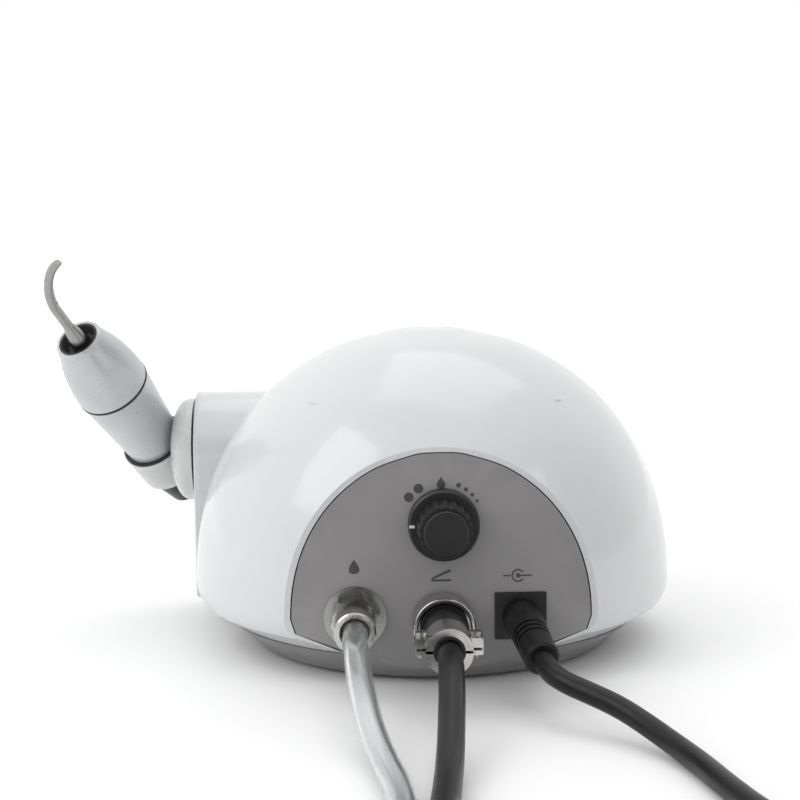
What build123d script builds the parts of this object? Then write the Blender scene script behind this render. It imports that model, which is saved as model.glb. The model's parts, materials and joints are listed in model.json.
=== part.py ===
from build123d import *
import os
from math import cos, pi, radians, sin, sqrt, tan

# Ultrasonic scaler: a half-dome table unit with a handpiece in a swivel cup on its side,
# and a rear panel with a water inlet, a foot-switch connector and a low-voltage power socket.
# Millimetres. Origin on the table under the dome's centre, +Z up, rear panel towards -Y,
# operator's controls towards +Y, handpiece holder towards -X.

# ---- driving dimensions: housing ----
DOME_R = 68.2
DOME_TOP = 89.2
DOME_POWER = 2.1
WIDE_Z = 17.7
WALL = 2.5
EDGE_R = 59.5
EDGE_Z = 8.5
CURL_R = 66.3
CURL_Z = 12.7
BASE_R = 51.4
BASE_Z = 1.0
BASE_LIP = 3.5
PANEL_Y = -54.8
PANEL_T = 2.5
PANEL_INSET = 1.0
SEAM = 0.2
TOWER = 31.0
TOWER_R = 3.4
FOOT_OUTER_R = 43.0
FOOT_INNER_R = 37.0
FLOOR_Z = BASE_Z + WALL
SCREW_R = 1.2
SCREW_HEAD_R = 2.8

# ---- driving dimensions: side ear and swivel holder ----
EAR_X = -68.0
EAR_Y = 24.0
EAR_Z = 51.5
EAR_R = 17.4
EAR_FOOT_Z = 9.6
PLATE_T = 1.5
PLATE_X = EAR_X - PLATE_T
WASHER_T = 0.8
HUB_X = PLATE_X - WASHER_T
HUB_R = 15.4
HUB_T = 7.2
PIVOT_R = 3.0
PIVOT_PLAY = 0.06

# ---- driving dimensions: handpiece ----
SEAM_POINT = Vector(-83.6, 27.5, 53.7)
HAND_AXIS = Vector(-0.341, -0.634, 0.694).normalized()
HAND_SIDE = (Vector(1, 0, 0) - HAND_AXIS * HAND_AXIS.X).normalized()
NOSE_T = 48.9
JOINT_T = 27.3
CUP_LENGTH = 12.4
JOINT_R = 10.9
NOSE_R = 6.9
SLEEVE_R = 8.6
CUP_R = 10.1
CUP_TAPER = 0.6
LINER_R = 9.2
LINER_T = 0.45
TAIL_R = 7.6
TAIL_END = 24.0
HORN_TIP_R = 2.3
HORN_END = 45.5

# ---- driving dimensions: rear panel fittings (x, z on the panel) ----
KNOB = (0.7, 42.4)
INLET = (-22.3, 18.2)
FOOT_JACK = (0.4, 16.7)
POWER_JACK = (20.5, 17.9)
JACK_W = 13.4
JACK_H = 12.4

VALVE_NECK_R = 4.0
VALVE_W = 13.0
VALVE_MID_Y = PANEL_Y + PANEL_T + 8
INLET_NECK_R = 5.0
FOOT_NECK_R = 6.0

SPINDLE_R = 1.5
PLAY = 0.05
KNOB_R = 9.2
KNOB_GAP = 0.7
KNOB_SKIRT_H = 3.6
GRIP_R = 7.2
GRIP_H = 9.2
GRIP_FLUTES = 18
CAP_R = 5.7
CAP_H = 1.6
HOSE_START = 12.5
HOSE_NUT_END = 17.0
RING_R = 8.0
PLUG_END = 20.0
CLAMP_END = 30.0
CLAMP_SCREW_X = 6.7
HOSE_R = 3.2
FOOT_CABLE_R = 3.1
POWER_CABLE_R = 2.65
BOOT_START = 1.9
BOOT_END = Vector(23.3, -80.0, 13.1)


# ---- driving dimensions: far ends of the cords ----
PEDAL_X = -40.0
PEDAL_GLAND_Y = -298.0
PEDAL_W = 60.0
PEDAL_L = 68.0
PEDAL_MID_Y = PEDAL_GLAND_Y - 2 - PEDAL_L / 2
PEDAL_Z = 12.4
PEDAL_FLOOR_T = 2.5
PEDAL_BASE_H = 13.0
PEDAL_HINGE_Y = PEDAL_GLAND_Y - 10
PEDAL_HINGE_Z = PEDAL_Z + 17
PEDAL_PIN_R = 1.5
PEDAL_REST = 5.0
PEDAL_TOP_W = 53.0
PEDAL_TOP_L = 62.0
PEDAL_SPRING_Y = PEDAL_GLAND_Y - 35
PEDAL_SPRING_R = 5.0
PEDAL_SPRING_H = 13.0
ADAPTOR_X = 63.0
ADAPTOR_GLAND_Y = -266.0
ADAPTOR_W = 34.0
ADAPTOR_L = 44.0
ADAPTOR_H = 26.0

# ---- driving dimensions: inside ----
BOARD_W = 60.0
BOARD_D = 46.0
BOARD_T = 1.6
BOARD_Z = 8.5
BOARD_CENTRE = (0.0, 3.0)
SOLENOID = (-40.0, -4.0)
OUTLET_ANGLE = 115.0
OUTLET_Z = 24.0
OUTLET_REACH = 60.0
OUTLET_SEAT = 67.0

# ---- driving dimensions: front fascia ----
FASCIA_TILT = 40.0
FASCIA_REACH = 61.3
FASCIA_R = 28.0
FASCIA_T = 1.6
KEY_R = 4.6
KEY_PLACES = {"key_less": (-13.0, -6.0), "key_mode": (0.0, -12.5), "key_more": (13.0, -6.0)}
LIGHT_PLACES = [(-8.0, 3.2), (-4.0, 2.4), (0.0, 2.1), (4.0, 2.4), (8.0, 3.2)]
LIGHT_R = 0.95
WINDOW_PLACE = (0.0, 12.0)
WINDOW_W = 24.0
WINDOW_H = 9.0
MAT_TOP = -3.4
BOARD_R = 24.6

REAR = Plane(origin=(0, PANEL_Y, 0), x_dir=(1, 0, 0), z_dir=(0, -1, 0))
EAR = Plane(origin=(EAR_X, 0, 0), x_dir=(0, -1, 0), z_dir=(-1, 0, 0))
HAND_CUT = Plane(origin=SEAM_POINT, x_dir=HAND_SIDE, z_dir=HAND_SIDE.cross(HAND_AXIS))
HAND_LINE = Axis(SEAM_POINT, HAND_AXIS)
FASCIA_NORMAL = Vector(0, cos(radians(FASCIA_TILT)), sin(radians(FASCIA_TILT)))
FASCIA = Plane(
    origin=Vector(0, 0, WIDE_Z) + FASCIA_NORMAL * FASCIA_REACH,
    x_dir=(-1, 0, 0),
    z_dir=FASCIA_NORMAL,
)

FASCIA_LINE = Axis(FASCIA.origin, FASCIA_NORMAL)
OUTLET_WAY = Vector(cos(radians(OUTLET_ANGLE)), sin(radians(OUTLET_ANGLE)), 0)
OUTLET = Plane(origin=(0, 0, OUTLET_Z), x_dir=OUTLET_WAY.cross(Vector(0, 0, 1)), z_dir=OUTLET_WAY)
OUTLET_LINE = Axis((0, 0, OUTLET_Z), OUTLET_WAY)
CLAMP_TOP = Plane(
    origin=(FOOT_JACK[0], PANEL_Y - PLUG_END - 5.2, FOOT_JACK[1]),
    x_dir=(1, 0, 0),
    z_dir=(0, 0, 1),
)
BOOT_ROOT = Vector(POWER_JACK[0], PANEL_Y, POWER_JACK[1])
BOOT_AXIS = (BOOT_END - BOOT_ROOT).normalized()
BOOT_LENGTH = (BOOT_END - BOOT_ROOT).length
BOOT_SIDE = Vector(1, 0, 0) - BOOT_AXIS * BOOT_AXIS.X
BOOT_CUT = Plane(origin=BOOT_ROOT, x_dir=BOOT_SIDE, z_dir=BOOT_SIDE.cross(BOOT_AXIS))
BOOT_LINE = Axis(BOOT_ROOT, BOOT_AXIS)

PEDAL_PLANE = Plane(
    origin=(PEDAL_X, PEDAL_HINGE_Y, PEDAL_HINGE_Z),
    x_dir=(1, 0, 0),
    z_dir=(0, sin(radians(PEDAL_REST)), cos(radians(PEDAL_REST))),
)

os.makedirs("parts", exist_ok=True)


def finish(piece, name):
    """Label a finished piece and write its file."""
    piece.part.label = name
    export_step(piece.part, "parts/" + name + ".step")


def dome_points(radius, top, count=10):
    """Points of the dome's meridian, from its widest circle up to its crown."""
    points = []
    for step in range(count):
        angle = radians(90 * step / count)
        reach = radius * cos(angle) ** (2 / DOME_POWER)
        rise = (top - WIDE_Z) * sin(angle) ** (2 / DOME_POWER)
        points.append((reach, WIDE_Z + rise))
    return points + [(0, top)]


def dome_height(radius):
    """Height of the dome's outer surface at a distance from its centre line."""
    share = max(0.0, 1 - (radius / DOME_R) ** DOME_POWER)
    return WIDE_Z + (DOME_TOP - WIDE_Z) * share ** (1 / DOME_POWER)


def arch_points(inset, count=8):
    """Right half of the flat rear face's outline, from its side up to the top of the arch."""
    widest = sqrt((DOME_R - inset) ** 2 - PANEL_Y**2)
    points = []
    for step in range(count + 1):
        across = widest * cos(radians(90 * step / count))
        points.append((across, dome_height(sqrt(across**2 + PANEL_Y**2) + inset)))
    return points


def panel_half_width(radius):
    """Half the width of the rear plane's cut through a circle about the dome's centre line."""
    return sqrt(radius**2 - PANEL_Y**2)


def arch_face(inset, base_z, base_half):
    """Outline of the rear panel: the arch, its two rounded shoulders and its narrower foot."""
    right = arch_points(inset)
    side = right[0][0]
    with BuildSketch(REAR) as face:
        with BuildLine():
            Spline(*right, tangents=[(0, 1), (-1, 0)])
            Spline(*[(-x, z) for x, z in right], tangents=[(0, 1), (1, 0)])
            Polyline((side, right[0][1]), (side - 1.2, CURL_Z + 1.3), (base_half, base_z))
            Polyline((-side, right[0][1]), (1.2 - side, CURL_Z + 1.3), (-base_half, base_z))
            Line((base_half, base_z), (-base_half, base_z))
        make_face()
    return face.sketch


def tombstone(plane, radius, foot_z):
    """The ear's outline: straight sides with a half-round top."""
    with BuildSketch(plane) as face:
        with Locations((-EAR_Y, EAR_Z)):
            Circle(radius)
        with Locations((-EAR_Y, (EAR_Z + foot_z) / 2)):
            Rectangle(2 * radius, EAR_Z - foot_z)
    return face.sketch


def ring_on(plane, place, inner, outer, start, height):
    """A flat ring, or a disc where inner is zero, standing on a plane."""
    with BuildPart() as ring:
        with BuildSketch(plane.offset(start)):
            with Locations(place):
                Circle(outer)
                if inner > 0:
                    Circle(inner, mode=Mode.SUBTRACT)
        extrude(amount=height)
    return ring


def turned(plane, axis, outline):
    """A solid turned about an axis from an outline of (radius, height) points."""
    with BuildPart() as solid:
        with BuildSketch(plane):
            with BuildLine():
                Polyline(*outline, close=True)
            make_face()
        revolve(axis=axis)
    return solid


# ---- housing ----
with BuildPart() as upper_shell:
    with BuildSketch(Plane.XZ):
        with BuildLine():
            Spline(*dome_points(DOME_R, DOME_TOP), tangents=[(0, 1), (-1, 0)])
            TangentArc((DOME_R, WIDE_Z), (CURL_R, CURL_Z), tangent=(0, -1))
            Polyline((CURL_R, CURL_Z), (EDGE_R, EDGE_Z), (0, EDGE_Z), (0, DOME_TOP))
        make_face()
    revolve(axis=Axis.Z)
    add(extrude(tombstone(EAR, EAR_R, EAR_FOOT_Z), amount=-45, mode=Mode.PRIVATE))
    with BuildSketch(Plane.XZ):
        with BuildLine():
            Spline(*dome_points(DOME_R - WALL, DOME_TOP - WALL), tangents=[(0, 1), (-1, 0)])
            Polyline(
                (DOME_R - WALL, WIDE_Z),
                (CURL_R - WALL, CURL_Z + 1),
                (EDGE_R - WALL, EDGE_Z),
                (0, EDGE_Z),
                (0, DOME_TOP - WALL),
            )
        make_face()
    revolve(axis=Axis.Z, mode=Mode.SUBTRACT)
    cavity = tombstone(EAR, EAR_R - WALL, EAR_FOOT_Z + WALL)
    add(extrude(cavity, amount=-38, mode=Mode.PRIVATE), mode=Mode.SUBTRACT)
    with BuildSketch(REAR):
        Rectangle(4 * DOME_R, 4 * DOME_TOP)
    extrude(amount=30, mode=Mode.SUBTRACT)
    opening = arch_face(PANEL_INSET - SEAM / 2, EDGE_Z - 1, panel_half_width(EDGE_R) - 0.8)
    add(extrude(opening, amount=-9, mode=Mode.PRIVATE), mode=Mode.SUBTRACT)
    with BuildSketch(Plane.XY.offset(EDGE_Z + 0.5)):
        with GridLocations(2 * TOWER, 2 * TOWER, 2, 2):
            Circle(TOWER_R)
    extrude(amount=62.5)
    with BuildSketch(Plane.XY.offset(EDGE_Z + 0.5)):
        with GridLocations(2 * TOWER, 2 * TOWER, 2, 2):
            Circle(1.25)
    extrude(amount=14, mode=Mode.SUBTRACT)
    with BuildSketch(FASCIA.offset(-3)):
        Circle(FASCIA_R + 2)
    extrude(amount=3)
    with BuildSketch(FASCIA.offset(-6)):
        Circle(FASCIA_R - 3)
    extrude(amount=12, mode=Mode.SUBTRACT)
    with BuildSketch(FASCIA):
        Circle(FASCIA_R + SEAM)
    extrude(amount=12, mode=Mode.SUBTRACT)
    add(ring_on(OUTLET, (0, 0), 0, 7.6, OUTLET_SEAT, 12).part, mode=Mode.SUBTRACT)
    add(ring_on(OUTLET, (0, 0), 0, 5.1, OUTLET_REACH, 20).part, mode=Mode.SUBTRACT)
finish(upper_shell, "upper_shell")

with BuildPart() as lower_housing:
    with BuildSketch(Plane.XZ):
        with BuildLine():
            Polyline(
                (0, BASE_Z),
                (BASE_R, BASE_Z),
                (EDGE_R, EDGE_Z - SEAM),
                (EDGE_R - WALL - SEAM, EDGE_Z - SEAM),
                (EDGE_R - WALL - SEAM, EDGE_Z + BASE_LIP),
                (EDGE_R - 2 * WALL, EDGE_Z + BASE_LIP),
                (BASE_R - WALL, FLOOR_Z),
                (0, FLOOR_Z),
                close=True,
            )
        make_face()
    revolve(axis=Axis.Z)
    with BuildSketch(REAR):
        Rectangle(4 * DOME_R, 4 * DOME_TOP)
    extrude(amount=30, mode=Mode.SUBTRACT)
    panel = arch_face(PANEL_INSET + SEAM / 2, EDGE_Z - 0.5, panel_half_width(EDGE_R) - 1.2)
    add(extrude(panel, amount=-PANEL_T, mode=Mode.PRIVATE))
    with BuildSketch(Plane.XY.offset(FLOOR_Z)):
        with GridLocations(2 * TOWER, 2 * TOWER, 2, 2):
            Circle(TOWER_R)
    extrude(amount=EDGE_Z - FLOOR_Z + 0.4)
    with BuildSketch(Plane.XY.offset(FLOOR_Z)):
        with Locations(BOARD_CENTRE):
            with GridLocations(BOARD_W - 8, BOARD_D - 8, 2, 2):
                Circle(2.4)
    extrude(amount=BOARD_Z - FLOOR_Z)
    with BuildSketch(Plane.XY.offset(BASE_Z)):
        with GridLocations(2 * TOWER, 2 * TOWER, 2, 2):
            Circle(SCREW_HEAD_R + 0.2)
    extrude(amount=2.4, mode=Mode.SUBTRACT)
    with BuildSketch(Plane.XY.offset(BASE_Z)):
        with GridLocations(2 * TOWER, 2 * TOWER, 2, 2):
            Circle(SCREW_R + 0.3)
    extrude(amount=12, mode=Mode.SUBTRACT)
    with BuildSketch(Plane.XY.offset(BASE_Z)):
        Circle(FOOT_OUTER_R)
        Circle(FOOT_INNER_R, mode=Mode.SUBTRACT)
    extrude(amount=0.6, mode=Mode.SUBTRACT)
    with BuildSketch(Plane.XY.offset(BASE_Z)):
        with GridLocations(0, 5, 1, 5):
            SlotOverall(34, 2.2)
    extrude(amount=WALL, mode=Mode.SUBTRACT)
    with BuildSketch(REAR):
        with Locations(KNOB):
            Circle(VALVE_NECK_R + 0.1)
        with Locations(INLET):
            Circle(INLET_NECK_R + 0.1)
        with Locations(FOOT_JACK):
            Circle(FOOT_NECK_R + 0.1)
        with Locations(POWER_JACK):
            Rectangle(JACK_W - 1, JACK_H - 1)
    extrude(amount=-8, mode=Mode.SUBTRACT)
finish(lower_housing, "lower_housing")

with BuildPart() as foot_ring:
    with BuildSketch(Plane.XY):
        Circle(FOOT_OUTER_R)
        Circle(FOOT_INNER_R, mode=Mode.SUBTRACT)
    extrude(amount=BASE_Z + 0.6)
    chamfer(foot_ring.faces().sort_by(Axis.Z)[0].edges(), length=0.5)
finish(foot_ring, "foot_ring")

with BuildPart() as housing_screws:
    with BuildSketch(Plane.XY.offset(BASE_Z + 0.6)):
        with GridLocations(2 * TOWER, 2 * TOWER, 2, 2):
            Circle(SCREW_HEAD_R)
    extrude(amount=1.8)
    with BuildSketch(Plane.XY.offset(BASE_Z + 2.4)):
        with GridLocations(2 * TOWER, 2 * TOWER, 2, 2):
            Circle(SCREW_R)
    extrude(amount=17)
    with BuildSketch(Plane.XY.offset(BASE_Z + 0.6)):
        with GridLocations(2 * TOWER, 2 * TOWER, 2, 2):
            Rectangle(3.6, 0.8)
            Rectangle(0.8, 3.6)
    extrude(amount=1.0, mode=Mode.SUBTRACT)
finish(housing_screws, "housing_screws")

# ---- control electronics and water circuit inside the housing ----
with BuildPart() as main_board:
    with BuildSketch(Plane.XY.offset(BOARD_Z)):
        with Locations(BOARD_CENTRE):
            Rectangle(BOARD_W, BOARD_D)
    extrude(amount=BOARD_T)
finish(main_board, "main_board")

with BuildPart() as heat_sink:
    with BuildSketch(Plane.XY.offset(BOARD_Z + BOARD_T)):
        with Locations((15, 2)):
            Rectangle(22, 20)
    extrude(amount=3)
    with BuildSketch(Plane.XY.offset(BOARD_Z + BOARD_T + 3)):
        with Locations((15, 2)):
            with GridLocations(4, 0, 6, 1):
                Rectangle(1.2, 20)
    extrude(amount=12)
finish(heat_sink, "heat_sink")

with BuildPart() as capacitors:
    with BuildSketch(Plane.XY.offset(BOARD_Z + BOARD_T)):
        with Locations((-20, -8), (-20, 4), (-8, -8)):
            Circle(5)
    extrude(amount=16)
    fillet(capacitors.faces().sort_by(Axis.Z)[-3:].edges(), radius=0.8)
finish(capacitors, "capacitors")

with BuildPart() as solenoid_valve:
    with BuildSketch(Plane.XY.offset(FLOOR_Z)):
        with Locations(SOLENOID):
            RectangleRounded(13, 18, 1.5)
    extrude(amount=9)
    with BuildSketch(Plane.XY.offset(FLOOR_Z + 9)):
        with Locations(SOLENOID):
            RectangleRounded(11, 15, 2)
    extrude(amount=13)
    with BuildSketch(Plane.XY.offset(FLOOR_Z + 22)):
        with Locations(SOLENOID):
            Circle(3)
    extrude(amount=3)
finish(solenoid_valve, "solenoid_valve")


def tube_along(points, radius, bends):
    """A round tube along straight runs joined by tangent arcs."""
    with BuildPart() as tube:
        with BuildLine() as route:
            FilletPolyline(*points, radius=bends)
        with BuildSketch(Plane(origin=points[0], z_dir=route.line % 0)):
            Circle(radius)
        sweep()
    return tube


OUTLET_INNER = OUTLET.origin + OUTLET_WAY * OUTLET_REACH
inner_routes = [
    [
        (INLET[0], PANEL_Y + PANEL_T + 7.8, INLET[1]),
        (INLET[0], -25, INLET[1]),
        (SOLENOID[0] + 1, -22, INLET[1] - 1),
        (SOLENOID[0] + 1, SOLENOID[1] - 7.5, INLET[1] - 1),
    ],
    [
        (SOLENOID[0], SOLENOID[1], FLOOR_Z + 25),
        (SOLENOID[0], SOLENOID[1], KNOB[1]),
        (-22, -30, KNOB[1]),
        (-15, VALVE_MID_Y, KNOB[1]),
        (KNOB[0] - VALVE_W / 2, VALVE_MID_Y, KNOB[1]),
    ],
    [
        (KNOB[0], VALVE_MID_Y + 8, KNOB[1]),
        (KNOB[0], 8, KNOB[1]),
        OUTLET_INNER - OUTLET_WAY * 10,
        OUTLET_INNER,
    ],
]
with BuildPart() as inner_tubes:
    for route_points in inner_routes:
        add(tube_along(route_points, 1.9, [4] * (len(route_points) - 2)).part)
finish(inner_tubes, "inner_tubes")

# ---- side plate, swivel holder ----
PIVOT_PLACE = (-EAR_Y, EAR_Z)
HUB_CUT = Plane(origin=(HUB_X, EAR_Y, EAR_Z), x_dir=(0, 1, 0), z_dir=(0, 0, 1))
HUB_LINE = Axis((HUB_X, EAR_Y, EAR_Z), (-1, 0, 0))

with BuildPart() as side_plate:
    add(extrude(tombstone(EAR, EAR_R, EAR_FOOT_Z), amount=PLATE_T, mode=Mode.PRIVATE))
    fillet(side_plate.faces().sort_by(Axis.X)[0].edges(), radius=0.6)
    with BuildSketch(EAR):
        with Locations(PIVOT_PLACE):
            Circle(PIVOT_R + PIVOT_PLAY)
    extrude(amount=PLATE_T, mode=Mode.SUBTRACT)
finish(side_plate, "side_plate")

with BuildPart() as friction_washers:
    add(ring_on(EAR, PIVOT_PLACE, PIVOT_R + PIVOT_PLAY, 10, PLATE_T, WASHER_T - 0.05).part)
    add(ring_on(EAR, PIVOT_PLACE, PIVOT_R + PIVOT_PLAY, 6, -0.95, 0.95).part)
finish(friction_washers, "friction_washers")

with BuildPart() as pivot_bolt:
    add(ring_on(EAR, PIVOT_PLACE, 0, 5.2, -3.5, 2.5).part)
    add(ring_on(EAR, PIVOT_PLACE, 0, PIVOT_R, -1, 5.8).part)
    with BuildSketch(EAR.offset(-3.5)):
        with Locations(PIVOT_PLACE):
            RegularPolygon(1.6, 6)
    extrude(amount=1.6, mode=Mode.SUBTRACT)
finish(pivot_bolt, "pivot_bolt")

with BuildPart() as holder_cup:
    with BuildSketch(HUB_CUT):
        with BuildLine():
            Polyline((0, HUB_T), (0, 0), (HUB_R, 0), (HUB_R, 1.6))
            Spline((HUB_R, 1.6), (12.2, 5.4), (0, HUB_T), tangents=[(-0.15, 1), (-1, 0)])
        make_face()
    revolve(axis=HUB_LINE)
    cup_outline = [(0, 0), (CUP_R, 0), (CUP_R - CUP_TAPER, -CUP_LENGTH), (0, -CUP_LENGTH)]
    add(turned(HAND_CUT, HAND_LINE, cup_outline).part)
    bore_outline = [
        (0, 30),
        (CUP_R + 0.2, 30),
        (CUP_R + 0.2, 0),
        (LINER_R, 0),
        (LINER_R - CUP_TAPER, -CUP_LENGTH),
        (LINER_R, -CUP_LENGTH),
        (LINER_R, -40),
        (0, -40),
    ]
    add(turned(HAND_CUT, HAND_LINE, bore_outline).part, mode=Mode.SUBTRACT)
    add(ring_on(EAR, PIVOT_PLACE, 0, PIVOT_R, -1, 5.8).part, mode=Mode.SUBTRACT)
finish(holder_cup, "holder_cup")

liner_outline = [
    (LINER_R - LINER_T, LINER_T),
    (CUP_R - 0.3, LINER_T),
    (CUP_R - 0.3, 0),
    (LINER_R, 0),
    (LINER_R - CUP_TAPER, -CUP_LENGTH),
    (LINER_R - CUP_TAPER - LINER_T, -CUP_LENGTH),
]
cup_liner = turned(HAND_CUT, HAND_LINE, liner_outline)
finish(cup_liner, "cup_liner")

# ---- handpiece: outlines are (radius, distance along the handpiece from the cup's mouth) ----
rear_sleeve = turned(
    HAND_CUT,
    HAND_LINE,
    [
        (SLEEVE_R - CUP_TAPER - 1.2, -CUP_LENGTH),
        (SLEEVE_R - CUP_TAPER, -CUP_LENGTH),
        (SLEEVE_R, LINER_T),
        (JOINT_R - 0.15, JOINT_T - 0.5),
        (JOINT_R - 1.6, JOINT_T - 0.5),
        (SLEEVE_R - 1.2, 0),
    ],
)
finish(rear_sleeve, "rear_sleeve")

joint_ring = turned(
    HAND_CUT,
    HAND_LINE,
    [
        (JOINT_R - 1.5, JOINT_T - 0.5),
        (JOINT_R - 0.1, JOINT_T - 0.5),
        (JOINT_R + 0.1, JOINT_T - 0.25),
        (JOINT_R + 0.1, JOINT_T + 0.25),
        (JOINT_R - 0.1, JOINT_T + 0.5),
        (JOINT_R - 1.5, JOINT_T + 0.5),
    ],
)
finish(joint_ring, "joint_ring")

with BuildPart() as nose_cone:
    with BuildSketch(HAND_CUT):
        with BuildLine():
            Spline(
                (JOINT_R, JOINT_T + 0.5),
                (JOINT_R - 0.45, JOINT_T + 7),
                (JOINT_R - 1.75, JOINT_T + 13.5),
                (NOSE_R + 0.35, NOSE_T - 2.4),
                (NOSE_R, NOSE_T - 0.6),
                tangents=[(0.02, 1), (-0.12, 1)],
            )
            Polyline(
                (NOSE_R, NOSE_T - 0.6),
                (NOSE_R - 0.5, NOSE_T),
                (NOSE_R - 1, NOSE_T - 0.3),
                (NOSE_R - 1, NOSE_T - 4.5),
                (JOINT_R - 3.2, JOINT_T + 12.5),
                (JOINT_R - 1.6, JOINT_T + 0.5),
                (JOINT_R, JOINT_T + 0.5),
            )
        make_face()
    revolve(axis=HAND_LINE)
finish(nose_cone, "nose_cone")

nose_seal = turned(
    HAND_CUT,
    HAND_LINE,
    [
        (HORN_TIP_R + 0.7, NOSE_T - 4.2),
        (NOSE_R - 1, NOSE_T - 4.2),
        (NOSE_R - 1, NOSE_T - 0.4),
        (NOSE_R - 1.7, NOSE_T - 0.4),
        (HORN_TIP_R + 2, NOSE_T - 2.8),
        (HORN_TIP_R + 0.7, NOSE_T - 2.8),
    ],
)
finish(nose_seal, "nose_seal")

tail_connector = turned(
    HAND_CUT,
    HAND_LINE,
    [
        (2, -CUP_LENGTH),
        (TAIL_R, -CUP_LENGTH),
        (TAIL_R, -CUP_LENGTH - 2.5),
        (TAIL_R - 0.7, -CUP_LENGTH - 6),
        (TAIL_R - 2, -TAIL_END),
        (2, -TAIL_END),
    ],
)
finish(tail_connector, "tail_connector")

transducer_horn = turned(
    HAND_CUT,
    HAND_LINE,
    [(0, 12), (5.2, 12), (5.2, 20), (HORN_TIP_R, 38), (HORN_TIP_R, HORN_END), (0, HORN_END)],
)
finish(transducer_horn, "transducer_horn")

backing_mass = turned(HAND_CUT, HAND_LINE, [(0, -6), (5.2, -6), (5.2, 4), (0, 4)])
finish(backing_mass, "backing_mass")

with BuildPart() as piezo_rings:
    for ring_start in (4, 6, 8, 10):
        disc = [(0, ring_start), (5, ring_start), (5, ring_start + 1.8), (0, ring_start + 1.8)]
        add(turned(HAND_CUT, HAND_LINE, disc).part)
finish(piezo_rings, "piezo_rings")

with BuildPart() as support_rings:
    front_ring = [(5.2, 15), (7.7, 15), (7.7, 17), (5.2, 17)]
    rear_ring = [(5.2, -3), (6.5, -3), (6.5, -1), (5.2, -1)]
    add(turned(HAND_CUT, HAND_LINE, front_ring).part)
    add(turned(HAND_CUT, HAND_LINE, rear_ring).part)
finish(support_rings, "support_rings")


def tip_plane(along, across, lean):
    """A cut across the scaler tip: place in the tip's own plane and lean from the axis."""
    centre = SEAM_POINT + HAND_AXIS * (NOSE_T + along) + HAND_SIDE * across
    heading = HAND_AXIS * cos(radians(lean)) + HAND_SIDE * sin(radians(lean))
    return Plane(origin=centre, x_dir=HAND_SIDE.cross(HAND_AXIS), z_dir=heading)


# along, across, lean from the axis, half width flat-wise, half width edge-wise
TIP_CUTS = [
    (13.2, 0, 0, 1.45, 1.45),
    (15.4, 0.35, 14, 1.35, 1.45),
    (20.4, 2.1, 25, 1.15, 1.35),
    (25.4, 5.4, 43, 0.9, 1.25),
    (28.4, 9.7, 62, 0.6, 1.0),
]
with BuildPart() as scaler_tip:
    for along, across, lean, flat_half, edge_half in TIP_CUTS:
        with BuildSketch(tip_plane(along, across, lean)):
            Ellipse(flat_half, edge_half)
    loft()
    stem_outline = [
        (0, HORN_END),
        (2.9, HORN_END),
        (2.9, NOSE_T - 0.4),
        (2.4, NOSE_T + 1.6),
        (1.5, NOSE_T + 5.5),
        (1.45, NOSE_T + 13.2),
        (0, NOSE_T + 13.2),
    ]
    add(turned(HAND_CUT, HAND_LINE, stem_outline).part)
    with BuildSketch(tip_plane(14.4, 1.0, 60)):
        Circle(0.4)
    extrude(amount=3, both=True, mode=Mode.SUBTRACT)
finish(scaler_tip, "scaler_tip")

# ---- rear panel: water control ----
with BuildPart() as water_valve:
    add(ring_on(REAR, KNOB, SPINDLE_R + PLAY, VALVE_NECK_R, -PANEL_T, PANEL_T + 0.6).part)
    with BuildSketch(REAR.offset(-PANEL_T - 16)):
        with Locations(KNOB):
            Rectangle(VALVE_W, VALVE_W)
    extrude(amount=16)
    fillet(water_valve.edges().filter_by(Axis.Y), radius=1)
    with BuildSketch(REAR.offset(-PANEL_T - 12)):
        with Locations(KNOB):
            Circle(SPINDLE_R + PLAY)
    extrude(amount=16, mode=Mode.SUBTRACT)
finish(water_valve, "water_valve")

with BuildPart() as valve_nut:
    with BuildSketch(REAR):
        with Locations(KNOB):
            RegularPolygon(6.4, 6)
            Circle(VALVE_NECK_R, mode=Mode.SUBTRACT)
    extrude(amount=0.6)
finish(valve_nut, "valve_nut")

valve_spindle = ring_on(REAR, KNOB, 0, SPINDLE_R, -PANEL_T - 11.7, PANEL_T + 23)
finish(valve_spindle, "valve_spindle")

with BuildPart() as water_knob:
    add(ring_on(REAR, KNOB, 0, KNOB_R, KNOB_GAP, KNOB_SKIRT_H - 0.5).part)
    with BuildSketch(REAR.offset(KNOB_GAP + KNOB_SKIRT_H - 0.5)):
        with Locations(KNOB):
            Circle(KNOB_R)
    extrude(amount=0.5, taper=45)
    with BuildSketch(REAR.offset(KNOB_GAP + KNOB_SKIRT_H)):
        with Locations(KNOB):
            Circle(GRIP_R)
            with PolarLocations(GRIP_R + 0.35, GRIP_FLUTES):
                Circle(0.75, mode=Mode.SUBTRACT)
    extrude(amount=GRIP_H, taper=3)
    add(ring_on(REAR, KNOB, 0, CAP_R, KNOB_GAP + KNOB_SKIRT_H + GRIP_H, CAP_H).part)
    fillet(water_knob.faces().sort_by(Axis.Y)[0].edges(), radius=0.4)
    add(ring_on(REAR, KNOB, 0, SPINDLE_R, 0, 11.3).part, mode=Mode.SUBTRACT)
finish(water_knob, "water_knob")

# ---- rear panel: water inlet ----
inlet_washer = ring_on(REAR, INLET, INLET_NECK_R, 8.1, 0, 0.8)
finish(inlet_washer, "inlet_washer")

with BuildPart() as inlet_fitting:
    add(ring_on(REAR, INLET, 1.5, 6, -PANEL_T - 2, 2).part)
    add(ring_on(REAR, INLET, 1.5, INLET_NECK_R, -PANEL_T - 2, PANEL_T + 9).part)
    add(ring_on(REAR, INLET, 1.5, 2.6, -PANEL_T - 7.8, 6).part)
    add(ring_on(REAR, INLET, 1.2, 1.9, 6, HOSE_START - 6).part)
finish(inlet_fitting, "inlet_fitting")

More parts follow.
